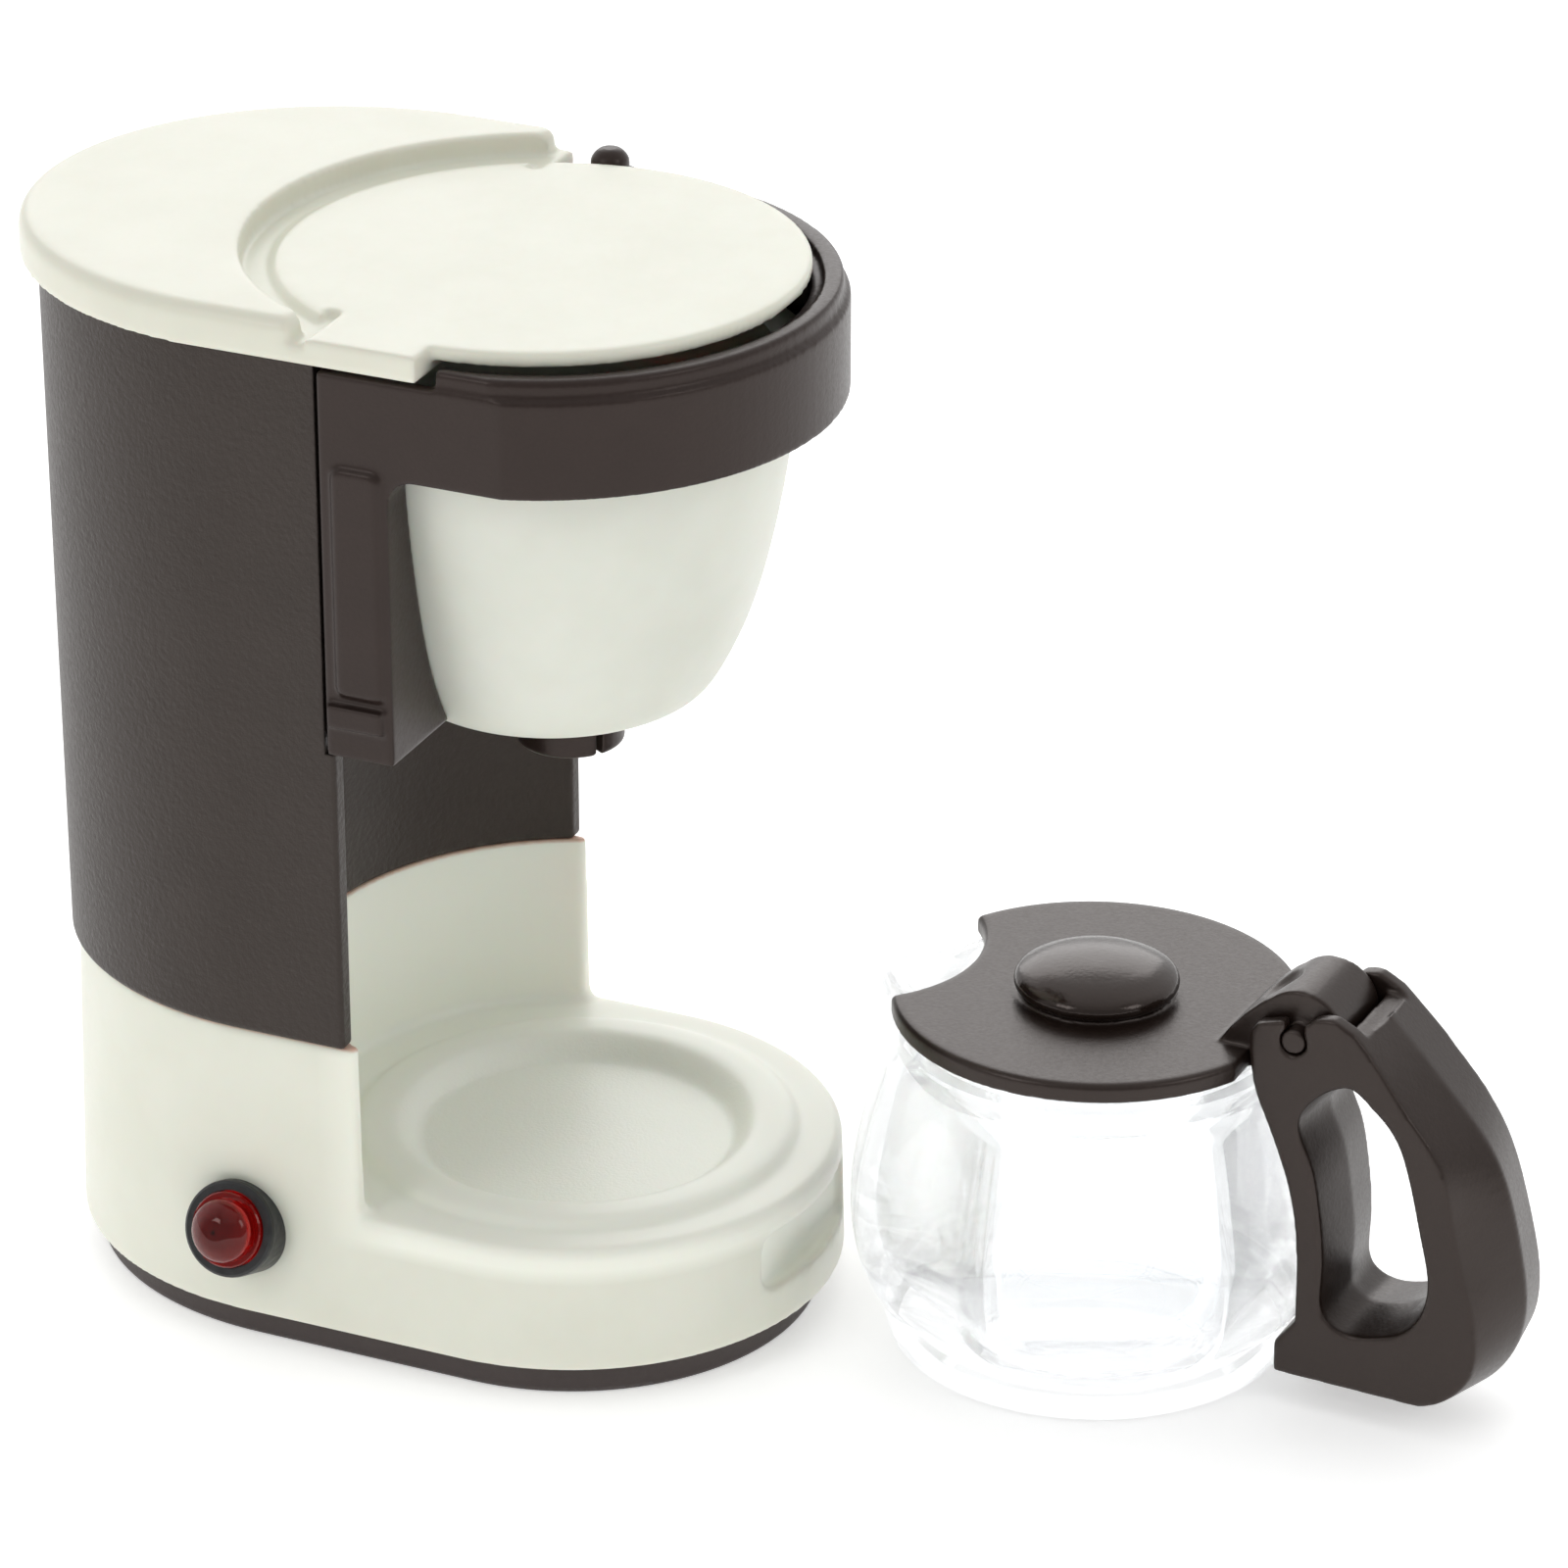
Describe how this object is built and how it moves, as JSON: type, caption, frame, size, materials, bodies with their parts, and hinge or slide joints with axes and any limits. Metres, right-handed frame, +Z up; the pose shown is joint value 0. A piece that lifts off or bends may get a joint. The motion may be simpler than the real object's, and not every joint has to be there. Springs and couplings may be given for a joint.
{
  "type": "miniature coffee machine",
  "caption": "Doll-size filter coffee machine: oval base with a warming ring, hollowed tower, swing-out filter holder with drip nozzle, side lamp, and a loose clear jug with a hinged lid.",
  "frame": {"origin": "underside of the foot, on the axis of the warming plate, which is also the middle of the round front and of the hollow in the tower", "axes": "+Z up, -Y to the front of the machine, +X to the hinge side of the swing-out holder; the lamp is on the -X side"},
  "size_m": [0.034, 0.0751, 0.055],
  "materials": {
    "cream_plastic": "satin, soft edges",
    "cup_plastic": "satin, slightly cooler than the housing",
    "brown_plastic": "fine grain with a soft sheen",
    "foot_plastic": "matt",
    "jug_clear": "clear, polished",
    "lamp_red": "clear red, polished",
    "lamp_black": "satin",
    "steel": "plated"
  },
  "bodies": {
    "machine": {"base_housing": "cream_plastic", "bottom_plate": "foot_plastic", "bottom_screws": "steel", "column_shell": "brown_plastic", "column_screws": "steel", "top_cover": "cream_plastic", "cover_screws": "steel", "hinge_pin": "brown_plastic", "lamp_bezel": "lamp_black", "lamp_lens": "lamp_red", "lamp_collar": "lamp_black", "lamp_leads": "steel"},
    "holder": {"holder_frame": "brown_plastic", "filter_cup": "cup_plastic", "drip_nozzle": "brown_plastic"},
    "jug": {"jug_glass": "jug_clear", "jug_handle": "brown_plastic"},
    "lid": {"jug_lid": "brown_plastic"}
  },
  "joints": [
    {"name": "holder_swing", "type": "hinge", "parent": "machine", "child": "holder", "pos_m": [0.0133, 0.0039, 0.042], "axis": [0, 0, 1], "range_deg": [0, 90]},
    {"name": "jug_lift", "type": "slide", "parent": "machine", "child": "jug", "axis": [0, 0, 1], "range_m": [0, 0.06]},
    {"name": "jug_lid_hinge", "type": "hinge", "parent": "jug", "child": "lid", "pos_m": [0.0052, -0.03674, 0.01965], "axis": [0.9986, -0.0523, 0], "range_deg": [0, 75]}
  ]
}
